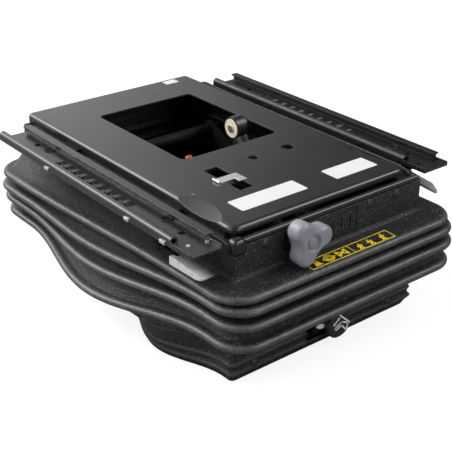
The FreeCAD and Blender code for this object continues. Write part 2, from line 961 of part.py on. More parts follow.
def damper_base_bracket():
    x = damper_x - damper_eye_width / 2 - 2
    ear = outline_yz(
        [
            (damper_base_y - 18, sheet),
            (damper_base_y + 18, sheet),
            (damper_base_y + 9, damper_base_z + 12),
            (damper_base_y - 9, damper_base_z + 12),
        ],
        x - 4,
        x,
    )
    foot = box(x - 22, x, damper_base_y - 18, damper_base_y + 18, sheet, sheet + 3)
    return join([ear, foot]).cut(
        rod_x(x - 5, x + 1, damper_base_y, damper_base_z, damper_pin_radius)
    )


def damper_base_pin():
    x = damper_x - damper_eye_width / 2 - 7
    return rod_x(x, damper_x + damper_eye_width / 2 + 1.5, damper_base_y, damper_base_z, damper_pin_radius)


# Small pieces on the upper frame

def cap_bracket():
    """A tab that reaches into the window from its front edge."""
    stem = box(cap_x - 6, cap_x + 6, window_front - 12, window_front - 9.5, cap_z, plate_under)
    tab = box(cap_x - 6, cap_x + 6, window_front - 12, cap_y + 7, cap_z, cap_z + sheet)
    return join([stem, tab])


def red_cap():
    cap = rod_z(cap_z + sheet, cap_z + sheet + 7, cap_x, cap_y, 5.0)
    top = cap_z + sheet + 6.9
    return bevel_edges(cap, 1.5, lambda edge: edge.BoundBox.ZMin > top)


def rivet(x, y, z, head_radius, grip):
    """A mushroom head that points forwards, on a shank as long as its grip."""
    ball_radius = (head_radius ** 2 + rivet_height ** 2) / (2 * rivet_height)
    ball = Part.makeSphere(ball_radius, Vector(x, y - rivet_height + ball_radius, z))
    head = ball.common(box(x - 20, x + 20, y - 20, y, z - 20, z + 20))
    shank = rod_y(y, y + grip, x, z, rivet_shank)
    return join([head, shank])


def wall_rivets():
    return Part.makeCompound(
        [
            rivet(x, wall_front, wall_rivet_z, wall_rivet_radius, rubber + sheet)
            for x in wall_rivet_places
        ]
    )


def base_rivets():
    return Part.makeCompound(
        [
            rivet(x, skirt_front, base_rivet_z, base_rivet_radius, base_front - skirt_front)
            for x in base_rivet_places
        ]
    )


def frame_front_member():
    member = cross_channel(frame_front, frame_front + frame_flange)
    member = member.cut(rod_y(frame_front - 1, frame_front + frame_flange + 1, knob_x, spindle_z, bush_radius))
    for x in wall_rivet_places:
        member = member.cut(rod_y(frame_front - 1, frame_front + 4, x, wall_rivet_z, rivet_shank))
    return member


# Lower knob

def lower_knob_bracket():
    z0 = lower_knob_z - 6
    z1 = lower_knob_z + 6
    x0 = lower_knob_x - 33
    face = lower_knob_front + lower_knob_thickness + 2
    plate = box(x0, x0 + 22, base_front - sheet, base_front, 8, z1)
    arm = box(x0, x0 + sheet, face, base_front, z0, z1)
    front = box(x0, lower_knob_x + 8, face, face + sheet, z0, z1)
    bore = rod_y(face - 1, face + 4, lower_knob_x, lower_knob_z, spindle_radius + pivot_clearance)
    return join([plate, arm, front]).cut(bore)


def lower_knob():
    back = lower_knob_front + lower_knob_thickness
    disc = rod_y(lower_knob_front, back, lower_knob_x, lower_knob_z, lower_knob_radius)
    front = lower_knob_front + 0.01
    disc = bevel_edges(disc, 2.0, lambda edge: edge.BoundBox.YMax < front)
    hub = rod_y(back - 1, back + 1.7, lower_knob_x, lower_knob_z, spindle_radius + 3)
    stud = rod_y(back - 1, back + 7, lower_knob_x, lower_knob_z, spindle_radius)
    return join([disc, hub, stud])


# Bellows

def swell(y, middle, half_length):
    """A smooth hump, 1 at its middle and 0 beyond its half length."""
    share = abs(y - middle) / half_length
    return math.cos(math.pi / 2 * share) ** 2 if share < 1 else 0.0


class Ring:
    """One closed line round the bellows: a front edge, a rear edge and two bulging sides."""

    def __init__(self, z, front, rear, half_front, half_rear, corner, bulge=0.0, sag=0.0, drop=0.0,
                 bulge_y=None, bulge_half=None):
        self.z = z
        self.front = front
        self.rear = rear
        self.half_front = half_front
        self.half_rear = half_rear
        self.corner = corner
        self.bulge = bulge
        self.sag = sag
        self.drop = drop
        self.bulge_y = fold_bulge_y if bulge_y is None else bulge_y
        self.bulge_half = fold_bulge_half if bulge_half is None else bulge_half

    def moved(self, inwards, down=0.0):
        """The same line, further in and lower."""
        return Ring(
            self.z - down,
            self.front + inwards,
            self.rear - inwards,
            self.half_front - inwards,
            self.half_rear - inwards,
            max(self.corner - inwards, 2.0),
            self.bulge,
            self.sag,
            self.drop,
            self.bulge_y,
            self.bulge_half,
        )

    def side_point(self, y):
        """Half width and height of the side at y."""
        span = self.rear - self.front - 2 * self.corner
        t = (y - self.front - self.corner) / span
        ease = t * t * (3 - 2 * t)
        hump = swell(y, self.bulge_y, self.bulge_half)
        half = self.half_front + (self.half_rear - self.half_front) * ease + self.bulge * hump
        return half, self.z - self.drop * ease - self.sag * hump

    def corner_point(self, turn, rear):
        """A point of the right-hand corner, turned from the front or rear line to the side."""
        r = self.corner
        half = self.half_rear if rear else self.half_front
        x = half - r + r * math.sin(turn)
        if rear:
            return Vector(x, self.rear - r + r * math.cos(turn), self.z - self.drop)
        return Vector(x, self.front + r - r * math.cos(turn), self.z)

    def points(self):
        right = []
        for k in range(corner_steps + 1):
            right.append(self.corner_point(math.pi / 2 * k / corner_steps, False))
        y0 = self.front + self.corner
        y1 = self.rear - self.corner
        for k in range(1, side_steps):
            y = y0 + (y1 - y0) * k / side_steps
            half, z = self.side_point(y)
            right.append(Vector(half, y, z))
        for k in range(corner_steps, -1, -1):
            right.append(self.corner_point(math.pi / 2 * k / corner_steps, True))
        left = [Vector(-point.x, point.y, point.z) for point in reversed(right)]
        return right + left


def flat_face(corners):
    return Part.Face(Part.makePolygon(corners + corners[:1]))


def four_sided(a, b, c, d):
    """One flat face through four corners, or two where they do not lie in one plane."""
    off = (b - a).cross(c - a).dot(d - a)
    if abs(off) < 1e-6:
        return [flat_face([a, b, c, d])]
    return [flat_face([a, b, c]), flat_face([a, c, d])]


def band(upper, lower):
    """The faces between two rings."""
    top = upper.points()
    bottom = lower.points()
    faces = []
    for k in range(len(top)):
        after = (k + 1) % len(top)
        faces += four_sided(top[k], top[after], bottom[after], bottom[k])
    return faces


def fold_ridge(k):
    """The outermost line of fold k, counted from the top."""
    return Ring(
        height + fold_z[k],
        fold_front[k],
        fold_rear,
        fold_half_front[k],
        fold_half_rear[k],
        fold_corner,
        fold_bulge[k],
        fold_sag[k],
        fold_drop[k],
    )


def between(a, b, inwards):
    """A crease half way between two ridges."""
    def mean(name):
        return (getattr(a, name) + getattr(b, name)) / 2

    ring = Ring(
        mean("z"),
        mean("front"),
        mean("rear"),
        mean("half_front"),
        mean("half_rear"),
        mean("corner"),
        mean("bulge"),
        mean("sag"),
        mean("drop"),
    )
    return ring.moved(inwards)


def skirt_ring(z, outwards=0.0, bulge=1.0):
    return Ring(
        z,
        skirt_front - outwards,
        skirt_rear + outwards,
        skirt_half_width + outwards,
        skirt_half_width + outwards,
        wall_corner + outwards,
        skirt_bulge * bulge,
        0.0,
        0.0,
        skirt_bulge_y,
        skirt_bulge_half,
    )


def wall_ring(z):
    return Ring(z, wall_front, wall_rear, wall_half_width, wall_half_width, wall_corner)


def bellows_rings():
    """The outer and the inner lines of the bellows, from top to bottom."""
    ridges = [fold_ridge(k) for k in range(len(fold_z))]
    outer = [wall_ring(wall_top), wall_ring(wall_bottom)]
    inner = [wall_ring(wall_top).moved(rubber), wall_ring(wall_bottom).moved(rubber, 2.5)]
    for k, ridge in enumerate(ridges):
        outer.append(ridge.moved(fold_round, -fold_half_thickness))
        outer.append(ridge)
        outer.append(ridge.moved(fold_round, fold_half_thickness))
        inner.append(ridge.moved(rubber + 1))
        if k + 1 < len(ridges):
            crease = between(ridge, ridges[k + 1], fold_depth)
            outer.append(crease)
            inner.append(crease.moved(rubber))
    outer.append(skirt_ring(skirt_top, 0, 1.7))
    inner.append(skirt_ring(skirt_top, -rubber, 1.7).moved(0, -3.0))
    for z in skirt_ridges:
        outer.append(skirt_ring(z + 2.5, 0, 1.2))
        outer.append(skirt_ring(z, 1.8, 1.2))
        outer.append(skirt_ring(z - 2.5, 0, 1.2))
    outer.append(skirt_ring(skirt_bottom))
    inner.append(skirt_ring(skirt_bottom, -rubber))
    return outer, inner


def bellows():
    outer, inner = bellows_rings()
    faces = []
    for line in (outer, inner):
        for upper, lower in zip(line, line[1:]):
            faces += band(upper, lower)
    faces += band(inner[0], outer[0])
    faces += band(inner[-1], outer[-1])
    sewn = Part.makeCompound(faces)
    sewn.sewShape()
    skin = Part.makeSolid(sewn.Shells[0])
    if skin.Volume < 0:
        skin.reverse()
    holes = [
        box(
            knob_x - knob_window, knob_x + knob_window, wall_front - 2, wall_front + 6, 143, wall_top - 1
        ),
        box(
            lower_knob_x - 35, lower_knob_x - 5, skirt_front - 4, skirt_front + 5,
            lower_knob_z - 16, lower_knob_z + 7,
        ),
    ]
    holes += wall_rivets().Solids
    holes += base_rivets().Solids
    for hole in holes:
        skin = skin.cut(hole)
    return skin


# Every piece, saved under its own name

def save_base():
    save("base_pan", base_pan())
    save("left_lower_track", lower_track(-1))
    save("right_lower_track", lower_track(1))
    save("lower_pivot_ears", lower_pivot_ears())
    save("lower_pivot_rod", rod_x(-ear_x - 6, ear_x + 6, pivot_y, lower_pivot_z, pivot_radius))
    save("damper_base_bracket", damper_base_bracket())
    save("damper_base_pin", damper_base_pin())
    save("lower_knob_bracket", lower_knob_bracket())
    save("base_rivets", base_rivets())
    save("bellows", bellows())


def save_scissor():
    low_rear = (pivot_y, lower_pivot_z)
    high_front = (front_y, upper_pivot_z)
    high_rear = (pivot_y, upper_pivot_z)
    low_front = (front_y, lower_pivot_z)
    running = pivot_radius + pivot_clearance
    axle_bore = axle_radius + pivot_clearance
    save(
        "outer_scissor_frame",
        scissor_frame(outer_arm_x, low_rear, high_front, running, axle_bore, pivot_radius),
    )
    save(
        "inner_scissor_frame",
        scissor_frame(inner_arm_x, high_rear, low_front, running, axle_bore, running),
    )
    save("centre_pins", centre_pins())
    upper_x = outer_arm_x + arm_thickness + 1.5
    lower_x = inner_arm_x - 1.5 - roller_width
    upper_end = upper_x + roller_width
    save("upper_axle", rod_x(-upper_end, upper_end, front_y, upper_pivot_z, axle_radius))
    save("upper_rollers", both_sides(roller(upper_x, front_y, upper_pivot_z)))
    lower_end = inner_arm_x + arm_thickness + 1
    save("lower_axle", rod_x(-lower_end, lower_end, front_y, lower_pivot_z, axle_radius))
    save("lower_rollers", both_sides(roller(lower_x, front_y, lower_pivot_z)))


def save_upper_frame():
    save("top_plate", top_plate())
    save("slot_clip", slot_clip())
    save("front_rim", front_rim())
    save("frame_front_member", frame_front_member())
    save("frame_rear_member", cross_channel(frame_rear, frame_rear - frame_flange))
    save("frame_left_member", channel_along_y(-1))
    save("frame_right_member", channel_along_y(1))
    save("left_upper_track", upper_track(-1))
    save("right_upper_track", upper_track(1))
    save("end_buffers", end_buffers())
    save("upper_pivot_rod", rod_x(-frame_inside, frame_inside, pivot_y, upper_pivot_z, pivot_radius))
    save("damper_top_bracket", damper_top_bracket())
    save("damper_top_pin", damper_top_pin())
    save("wall_rivets", wall_rivets())
    save("cap_bracket", cap_bracket())
    save("red_cap", red_cap())
    save("left_rail_brackets", rail_brackets(-1))
    save("right_rail_brackets", rail_brackets(1))
    save("latch_ears", Part.makeCompound([latch_ear(left_latch_x), latch_ear(right_latch_x)]))


def save_rails():
    for name, side in (("left", -1), ("right", 1)):
        fixed, slider, channel = rail_parts(side * rail_centre)
        save(name + "_fixed_rail", fixed)
        save(name + "_slider", slider)
        save(name + "_seat_channel", channel)
        save(name + "_rail_fasteners", rail_fasteners(side * rail_centre))
    save("left_latch_lever", left_latch_lever())
    save("left_latch_grip", latch_grip())
    save("right_latch_lever", right_latch_lever())


def save_adjuster():
    save("weight_knob", weight_knob())
    save("spindle", spindle())
    save("spindle_bush", spindle_bush())
    save("spring_crossbar", spring_crossbar())
    save("springs", springs())
    save("draw_rods", draw_rods())
    save("draw_rod_nuts", draw_rod_nuts())
    save("lower_knob", lower_knob())


def save_damper():
    save("damper_tube", damper_tube())
    save("damper_base_bush", damper_bush(damper_base_y, damper_base_z))
    save("damper_rod", damper_rod())
    save("damper_sleeve", damper_sleeve())
    save("damper_top_bush", damper_bush(damper_top_y, damper_top_z))


save_base()
save_scissor()
save_upper_frame()
save_rails()
save_adjuster()
save_damper()
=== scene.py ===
import math

import bmesh
import bpy
import numpy as np
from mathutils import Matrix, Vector


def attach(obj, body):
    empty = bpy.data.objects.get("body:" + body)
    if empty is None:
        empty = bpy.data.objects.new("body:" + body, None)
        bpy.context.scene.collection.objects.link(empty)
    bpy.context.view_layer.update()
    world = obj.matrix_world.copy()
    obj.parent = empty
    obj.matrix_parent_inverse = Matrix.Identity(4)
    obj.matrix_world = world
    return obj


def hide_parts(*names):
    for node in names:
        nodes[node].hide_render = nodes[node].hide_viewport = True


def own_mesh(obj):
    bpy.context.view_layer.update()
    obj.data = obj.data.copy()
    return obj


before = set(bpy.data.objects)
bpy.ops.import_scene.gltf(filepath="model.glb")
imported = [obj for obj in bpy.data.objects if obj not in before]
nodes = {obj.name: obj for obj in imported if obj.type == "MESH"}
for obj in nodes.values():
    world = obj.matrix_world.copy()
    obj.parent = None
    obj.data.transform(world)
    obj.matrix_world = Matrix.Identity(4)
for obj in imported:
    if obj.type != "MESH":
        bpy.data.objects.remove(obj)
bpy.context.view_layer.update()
scene = bpy.context.scene
MM = 0.001

# Camera

camera_data = bpy.data.cameras.new("camera")
camera_data.lens = 79.65
camera_data.sensor_width = 36.0
camera_data.clip_start = 0.05
camera_data.clip_end = 60.0
camera = bpy.data.objects.new("camera", camera_data)
scene.collection.objects.link(camera)
camera.location = (-0.6954, -0.8813, 0.6409)
camera.rotation_euler = (math.radians(63.23), 0.0, math.radians(-38.27))
scene.camera = camera

scene.view_settings.view_transform = "Standard"


# Shading

class Tree:
    """The shading nodes of a surface or the surroundings, with short calls to add and link them."""

    def __init__(self, owner, place="Object"):
        owner.use_nodes = True
        self.owner = owner
        self.tree = owner.node_tree
        self.tree.nodes.clear()
        self.place = self.add("TexCoord").outputs[place]

    def add(self, kind, settings=None, inputs=None):
        made = self.tree.nodes.new("ShaderNode" + kind)
        for key, value in (settings or {}).items():
            setattr(made, key, value)
        for key, value in (inputs or {}).items():
            if isinstance(value, bpy.types.NodeSocket):
                self.tree.links.new(value, made.inputs[key])
            else:
                made.inputs[key].default_value = value
        return made

    def noise(self, scale, detail=2.0, rough=0.5, place=None):
        return self.add(
            "TexNoise",
            inputs={"Vector": place or self.place, "Scale": scale, "Detail": detail, "Roughness": rough},
        ).outputs["Fac"]

    def cells(self, scale):
        made = self.add("TexVoronoi", {"feature": "SMOOTH_F1"}, {"Vector": self.place, "Scale": scale})
        return made.outputs["Distance"]

    def span(self, value, low, high, to_low=0.0, to_high=1.0):
        return self.add(
            "MapRange",
            {"interpolation_type": "SMOOTHSTEP"},
            {"Value": value, "From Min": low, "From Max": high, "To Min": to_low, "To Max": to_high},
        ).outputs["Result"]

    def math(self, operation, a, b=0.0):
        return self.add("Math", {"operation": operation}, {0: a, 1: b}).outputs[0]

    def mix(self, share, a, b):
        made = self.add("Mix", {"data_type": "RGBA"}, {"Factor": share})
        for socket, value in ((6, a), (7, b)):
            if isinstance(value, bpy.types.NodeSocket):
                self.tree.links.new(value, made.inputs[socket])
            else:
                made.inputs[socket].default_value = (*value, 1.0)
        return made.outputs[2]

    def bump(self, height, strength, distance, normal=None):
        inputs = {"Height": height, "Strength": strength, "Distance": distance}
        if normal is not None:
            inputs["Normal"] = normal
        return self.add("Bump", inputs=inputs).outputs["Normal"]

    def edge_wear(self, radius):
        """A rounded normal, and a mask that is 1 along sharp edges."""
        soft = self.add("Bevel", {"samples": 6}, {"Radius": radius}).outputs["Normal"]
        flat = self.add("NewGeometry").outputs["Normal"]
        dot = self.add("VectorMath", {"operation": "DOT_PRODUCT"}, {0: soft, 1: flat}).outputs["Value"]
        return soft, self.span(dot, 0.985, 0.86)

    def finish(self, colour, rough, normal=None, metallic=0.0, specular=0.5):
        inputs = {
            "Base Color": colour if isinstance(colour, bpy.types.NodeSocket) else (*colour, 1.0),
            "Roughness": rough,
            "Metallic": metallic,
            "Specular IOR Level": specular,
        }
        if normal is not None:
            inputs["Normal"] = normal
        shader = self.add("BsdfPrincipled", inputs=inputs)
        self.add("OutputMaterial", inputs={"Surface": shader.outputs[0]})
        return self.owner


def material_tree(name):
    return Tree(bpy.data.materials.new(name))


def painted_metal(name, colour, worn, rough, peel=0.02, edge=0.0006, wear=0.5, specular=0.5):
    """Satin paint with a faint orange peel, dusty patches and lighter edges."""
    t = material_tree(name)
    patches = t.noise(14.0, 4.0, 0.6)
    dust = t.span(t.noise(900.0, 3.0), 0.62, 0.80)
    soft, edges = t.edge_wear(edge)
    scuffs = t.span(t.noise(160.0, 4.0, 0.7), 0.38, 0.62)
    edges = t.math("MULTIPLY", edges, t.math("MULTIPLY", scuffs, wear))
    base = t.mix(t.span(patches, 0.3, 0.7), colour, tuple(1.35 * c for c in colour))
    base = t.mix(t.math("MULTIPLY", dust, 0.25), base, worn)
    base = t.mix(edges, base, worn)
    shine = t.span(t.noise(30.0, 5.0, 0.65), 0.25, 0.75, rough * 0.85, rough * 1.2)
    normal = t.bump(t.noise(420.0, 2.0), peel, 0.0006, soft)
    return t.finish(base, shine, normal, specular=specular)


def plated_metal(name, colour, rough):
    """Bright zinc with brushed streaks and duller spots."""
    t = material_tree(name)
    streaks = t.add("Mapping", inputs={"Vector": t.place, "Scale": (60.0, 900.0, 900.0)}).outputs[0]
    brushed = t.noise(1.0, 3.0, place=streaks)
    spots = t.noise(220.0, 3.0)
    soft, _ = t.edge_wear(0.0004)
    base = t.mix(t.span(spots, 0.35, 0.7), colour, tuple(0.88 * c for c in colour))
    shine = t.span(brushed, 0.2, 0.8, rough * 0.75, rough * 1.4)
    return t.finish(base, shine, t.bump(brushed, 0.12, 0.0003, soft), metallic=0.9)


def moulded_plastic(name, colour, rough, specular=0.5):
    """Moulded plastic with a fine spark-eroded skin and slightly paler edges."""
    t = material_tree(name)
    soft, edges = t.edge_wear(0.0007)
    clouds = t.noise(35.0, 3.0)
    base = t.mix(t.span(clouds, 0.3, 0.7), colour, tuple(0.86 * c for c in colour))
    base = t.mix(t.math("MULTIPLY", edges, 0.25), base, tuple(min(1.0, 1.5 * c) for c in colour))
    shine = t.span(t.noise(60.0, 4.0), 0.3, 0.7, rough * 0.9, rough * 1.12)
    return t.finish(base, shine, t.bump(t.noise(1500.0, 2.0), 0.06, 0.0004, soft), specular=specular)


def grained_rubber(name, colour, lip_wear_and_highlight_colour, rough, grain):
    """Black leather-grained rubber whose folds are smoother on the lips, and greyer there, partly from wear
    and partly as a painted highlight.
    """
    t = material_tree(name)
    lip = t.add("Attribute", {"attribute_name": "lip"}).outputs["Fac"]
    pebbles = t.cells(760.0)
    fine = t.noise(1050.0, 3.0, 0.65)
    height = t.math("ADD", t.math("MULTIPLY", pebbles, 0.7), t.math("MULTIPLY", fine, 0.5))
    # The lips turn greyer, partly from wear and partly as a painted highlight
    rub_and_highlight_patches = t.span(t.noise(55.0, 5.0, 0.65), 0.32, 0.68)
    lip_wear_and_painted_highlight = t.math("MULTIPLY", lip, t.math("ADD", t.math("MULTIPLY", rub_and_highlight_patches, 0.5), 0.5))
    # Sparse whitish specks in the grain are painted glints
    painted_glints = t.span(t.noise(520.0, 1.0, 0.6), 0.60, 0.70)
    base = t.mix(t.span(t.noise(9.0, 4.0), 0.3, 0.7), colour, tuple(1.5 * c for c in colour))
    base = t.mix(lip_wear_and_painted_highlight, base, lip_wear_and_highlight_colour)
    base = t.mix(painted_glints, base, tuple(20.0 * c for c in colour))
    shine = t.span(fine, 0.3, 0.7, rough * 0.9, rough * 1.15)
    shine = t.math("SUBTRACT", shine, t.math("MULTIPLY", lip, 0.1))
    strength = t.math("SUBTRACT", grain, t.math("MULTIPLY", lip, grain * 0.72))
    return t.finish(base, shine, t.bump(height, strength, 0.0011))


def metal_with_painted_highlight(name, bright, dark, start, end, rough):
    """Bare metal that darkens along x, from start to end in metres: a painted highlight fading into painted
    shade.
    """
    t = material_tree(name)
    x = t.add("SeparateXYZ", inputs={0: t.place}).outputs["X"]
    smears = t.noise(90.0, 4.0, 0.6)
    soft, _ = t.edge_wear(0.0005)
    along = t.math("ADD", x, t.math("MULTIPLY", smears, 0.004))
    base = t.mix(t.span(along, start, end), bright, dark)
    shine = t.span(smears, 0.3, 0.7, rough * 0.85, rough * 1.2)
    return t.finish(base, shine, t.bump(t.noise(700.0, 2.0), 0.05, 0.0003, soft), metallic=0.35)


def label_paper(name, colour):
    """Matt paper with faint fibres."""
    t = material_tree(name)
    fibres = t.noise(700.0, 4.0)
    base = t.mix(t.span(fibres, 0.35, 0.7), colour, tuple(0.94 * c for c in colour))
    return t.finish(base, t.span(t.noise(40.0, 3.0), 0.3, 0.7, 0.4, 0.5), t.bump(fibres, 0.05, 0.0003))


def printed_ink(name, colour):
    """Flat ink, a little worn."""
    t = material_tree(name)
    worn = t.noise(900.0, 3.0)
    base = t.mix(t.span(worn, 0.3, 0.75), colour, tuple(0.78 * c for c in colour))
    return t.finish(base, t.span(worn, 0.3, 0.7, 0.42, 0.55), t.bump(worn, 0.1, 0.0003))


plate_paint = painted_metal(
    "plate_paint", (0.016, 0.016, 0.015), (0.12, 0.12, 0.115), 0.22, edge=0.0008, wear=0.2
)
frame_paint = painted_metal("frame_paint", (0.016, 0.016, 0.016), (0.10, 0.10, 0.10), 0.32, peel=0.05)
rail_paint = painted_metal(
    "rail_paint", (0.020, 0.0192, 0.0186), (0.22, 0.21, 0.20), 0.25, peel=0.05, edge=0.0007, wear=0.6
)
# A darker copy of the rail paint for the right rail, as painted shade
rail_paint_painted_shade = painted_metal(
    "rail_paint_painted_shade", (0.009, 0.009, 0.009), (0.12, 0.12, 0.12), 0.38, peel=0.05, edge=0.0007, specular=0.35
)
zinc = plated_metal("zinc", (0.86, 0.86, 0.85), 0.30)
knob_plastic = moulded_plastic("knob_plastic", (0.245, 0.245, 0.275), 0.34)
# The latch grip's highlight and shade are painted into its colour along x
grip_painted_highlight_metal = metal_with_painted_highlight("grip_painted_highlight_metal", (0.72, 0.71, 0.72), (0.02, 0.02, 0.022), -0.181, -0.160, 0.3)
black_plastic = moulded_plastic("black_plastic", (0.022, 0.022, 0.024), 0.42)
gloss_plastic = moulded_plastic("gloss_plastic", (0.004, 0.004, 0.004), 0.2)
ring_paint = painted_metal("ring_paint", (0.075, 0.075, 0.075), (0.16, 0.16, 0.16), 0.35)
cream_plastic = moulded_plastic("cream_plastic", (0.90, 0.81, 0.62), 0.35)
red_plastic = moulded_plastic("red_plastic", (0.36, 0.022, 0.02), 0.3)
rubber = grained_rubber("bellows_rubber", (0.0068, 0.0068, 0.0071), (0.085, 0.083, 0.085), 0.44, 0.9)
block_rubber = grained_rubber("block_rubber", (0.014, 0.014, 0.014), (0.02, 0.02, 0.02), 0.6, 0.25)
paper = label_paper("label_paper", (0.66, 0.66, 0.65))
yellow_ink = printed_ink("yellow_ink", (1.0, 0.76, 0.03))
white_ink = printed_ink("white_ink", (0.97, 0.97, 0.97))
# Matt pale colour that paints the zinc clip's bright reflection
clip_painted_reflection = label_paper("clip_painted_reflection", (0.9, 0.9, 0.88))
# Flat black for marks that paint the shade inside notches and holes
painted_hole_shade = moulded_plastic("painted_hole_shade", (0.004, 0.004, 0.004), 0.7, specular=0.2)
blade_plastic = moulded_plastic("blade_plastic", (0.34, 0.34, 0.34), 0.35)
shadow_paint = painted_metal("shadow_paint", (0.006, 0.006, 0.006), (0.02, 0.02, 0.02), 0.55, specular=0.12)

NODE_MATERIALS = {
    plate_paint: ("top_plate", "front_rim"),
    rail_paint: ("left_seat_channel", "left_slider", "left_fixed_rail"),
    rail_paint_painted_shade: ("right_seat_channel", "right_slider", "right_fixed_rail"),
    zinc: (
        "slot_clip", "cap_bracket", "damper_base_pin", "damper_top_pin", "draw_rod_nuts",
        "draw_rods", "left_rail_fasteners", "lower_axle", "spindle",
    ),
    grip_painted_highlight_metal: ("left_latch_grip",),
    blade_plastic: ("right_latch_lever",),
    shadow_paint: (
        "left_latch_lever", "latch_ears", "left_rail_brackets", "right_rail_brackets", "lower_knob_bracket",
        "right_rail_fasteners", "outer_scissor_frame", "inner_scissor_frame", "upper_axle", "upper_pivot_rod",
    ),
    knob_plastic: ("weight_knob",),
    black_plastic: ("lower_knob", "lower_rollers", "upper_rollers", "wall_rivets", "base_rivets"),
    cream_plastic: ("damper_base_bush", "damper_top_bush", "spindle_bush"),
    red_plastic: ("red_cap",),
    block_rubber: ("end_buffers", "bellows"),
}
for name, obj in nodes.items():
    chosen = next((m for m, names in NODE_MATERIALS.items() if name in names), frame_paint)
    obj.data.materials.clear()
    obj.data.materials.append(chosen)


# Surfaces

def add_mesh(name, points, faces, material, body, smooth=True):
    """A mesh piece from points in millimetres, riding on a body."""
    mesh = bpy.data.meshes.new(name)
    mesh.from_pydata([tuple(float(c) * MM for c in p) for p in points], [], faces)
    mesh.validate()
    bm = bmesh.new()
    bm.from_mesh(mesh)
    bmesh.ops.recalc_face_normals(bm, faces=bm.faces)
    bm.to_mesh(mesh)
    bm.free()
    if smooth:
        mesh.shade_smooth()
    obj = bpy.data.objects.new(name, mesh)
    scene.collection.objects.link(obj)
    mesh.materials.append(material)
    if body:
        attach(obj, body)
    return obj


def apply_modifiers(obj):
    graph = bpy.context.evaluated_depsgraph_get()
    made = bpy.data.meshes.new_from_object(obj.evaluated_get(graph))
    old = obj.data
    obj.modifiers.clear()
    obj.data = made
    bpy.data.meshes.remove(old)


def grid(rows):
    """Faces between rows of equal length, each row one ring of points."""
    n = len(rows[0])
    faces = []
    for i in range(len(rows) - 1):
        for j in range(n):
            a = i * n + j
            b = i * n + (j + 1) % n
            faces.append((a, b, b + n, a + n))
    return faces


# Bellows

SIDE_STEPS, CORNER_STEPS = 72, 10


def swell(y, middle, half):
    """A smooth hump that is 1 at the middle and 0 beyond the half width."""
    share = np.abs(np.asarray(y, float) - middle) / half
    return np.where(share < 1, np.cos(np.pi / 2 * np.minimum(share, 1)) ** 2, 0.0)


class Ring:
    """One closed line round the bellows, in millimetres.

    Its values are the height, front, rear, half widths at the front and rear, corner radius, side bulge,
    sag at the bulge, drop to the rear, and the middle and half length of the bulge.
    """

    def __init__(self, *values):
        self.values = np.array(values, float)

    def moved(self, inwards, up):
        v = self.values.copy()
        v[0] += up
        v[1] += inwards
        v[2] -= inwards
        v[3] -= inwards
        v[4] -= inwards
        v[5] = max(v[5] - inwards, 1.5)
        return Ring(*v)

    def towards(self, other, share):
        return Ring(*(self.values * (1 - share) + other.values * share))

    def points(self, front_steps):
        z, front, rear, half_front, half_rear, r, bulge, sag, drop, bulge_y, bulge_half = self.values
        right = []
        for x in front_steps:
            right.append((x * (half_front - r), front, z))
        for k in range(1, CORNER_STEPS + 1):
            turn = math.pi / 2 * k / CORNER_STEPS
            right.append((half_front - r + r * math.sin(turn), front + r - r * math.cos(turn), z))
        y0, y1 = front + r, rear - r
        for k in range(1, SIDE_STEPS):
            y = y0 + (y1 - y0) * k / SIDE_STEPS
            t = (y - y0) / (y1 - y0)
            ease = t * t * (3 - 2 * t)
            hump = float(swell(y, bulge_y, bulge_half))
            right.append(
                (half_front + (half_rear - half_front) * ease + bulge * hump, y, z - drop * ease - sag * hump)
            )
        for k in range(CORNER_STEPS, 0, -1):
            turn = math.pi / 2 * k / CORNER_STEPS
            right.append((half_rear - r + r * math.sin(turn), rear - r + r * math.cos(turn), z - drop))
        for x in reversed(front_steps):
            right.append((x * (half_rear - r), rear, z - drop))
        left = [(-x, y, zz) for x, y, zz in reversed(right) if x > 1e-6]
        return np.array(right + left)


def sheet(name, lines, lips, body, thickness, drop_face=None):
    """A rubber skin through the lines, with its thickness inwards."""
    points = np.concatenate(lines)
    faces = grid(lines)
    if drop_face:
        faces = [f for f in faces if not drop_face(points[list(f)].mean(axis=0))]
    obj = add_mesh(name, points, faces, rubber, None)
    values = np.repeat(np.array(lips, np.float32), len(lines[0]))
    obj.data.attributes.new("lip", "FLOAT", "POINT").data.foreach_set("value", values)
    outwards = obj.data.polygons[0].normal.dot(Vector((0, -1, 0)))
    solid = obj.modifiers.new("thickness", "SOLIDIFY")
    solid.thickness = thickness * MM
    solid.offset = -1.0 if outwards >= 0 else 1.0
    apply_modifiers(obj)
    obj.data.shade_smooth()
    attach(obj, body)
    return obj


FOLD_Z = (123.5, 112.5, 95.5, 69.5)
FOLD_FRONT = (-227.0, -233.0, -235.0, -233.0)
FOLD_HALF_FRONT = (172.0, 173.0, 173.0, 172.0)
FOLD_HALF_REAR = (184.0, 187.0, 184.0, 180.0)
FOLD_BULGE = (0.0, 12.0, 20.0, 32.0)
FOLD_SAG = (0.0, 3.0, 6.0, 10.0)
FOLD_DROP = (8.5, 14.5, 13.5, 8.5)
FOLD_REAR, FOLD_CORNER = 263.0, 38.0
FOLD_BULGE_Y, FOLD_BULGE_HALF = 0.0, 185.0
FOLD_DEPTH = 13.0
FOLD_ANCHOR = 46.0
WALL_FRONT, WALL_REAR, WALL_HALF, WALL_CORNER = -190.0, 256.0, 139.0, 3.0
WALL_BOTTOM = 129.0
SEAM, SEAM_ROUND, SEAM_GAP, SEAM_STEPS = 132.5, 4.0, 0.08, 6
SKIRT_FRONT, SKIRT_REAR, SKIRT_HALF, SKIRT_CORNER = -184.0, 184.0, 138.0, 6.0
SKIRT_BULGE, SKIRT_BULGE_Y, SKIRT_BULGE_HALF = 26.0, -78.0, 95.0


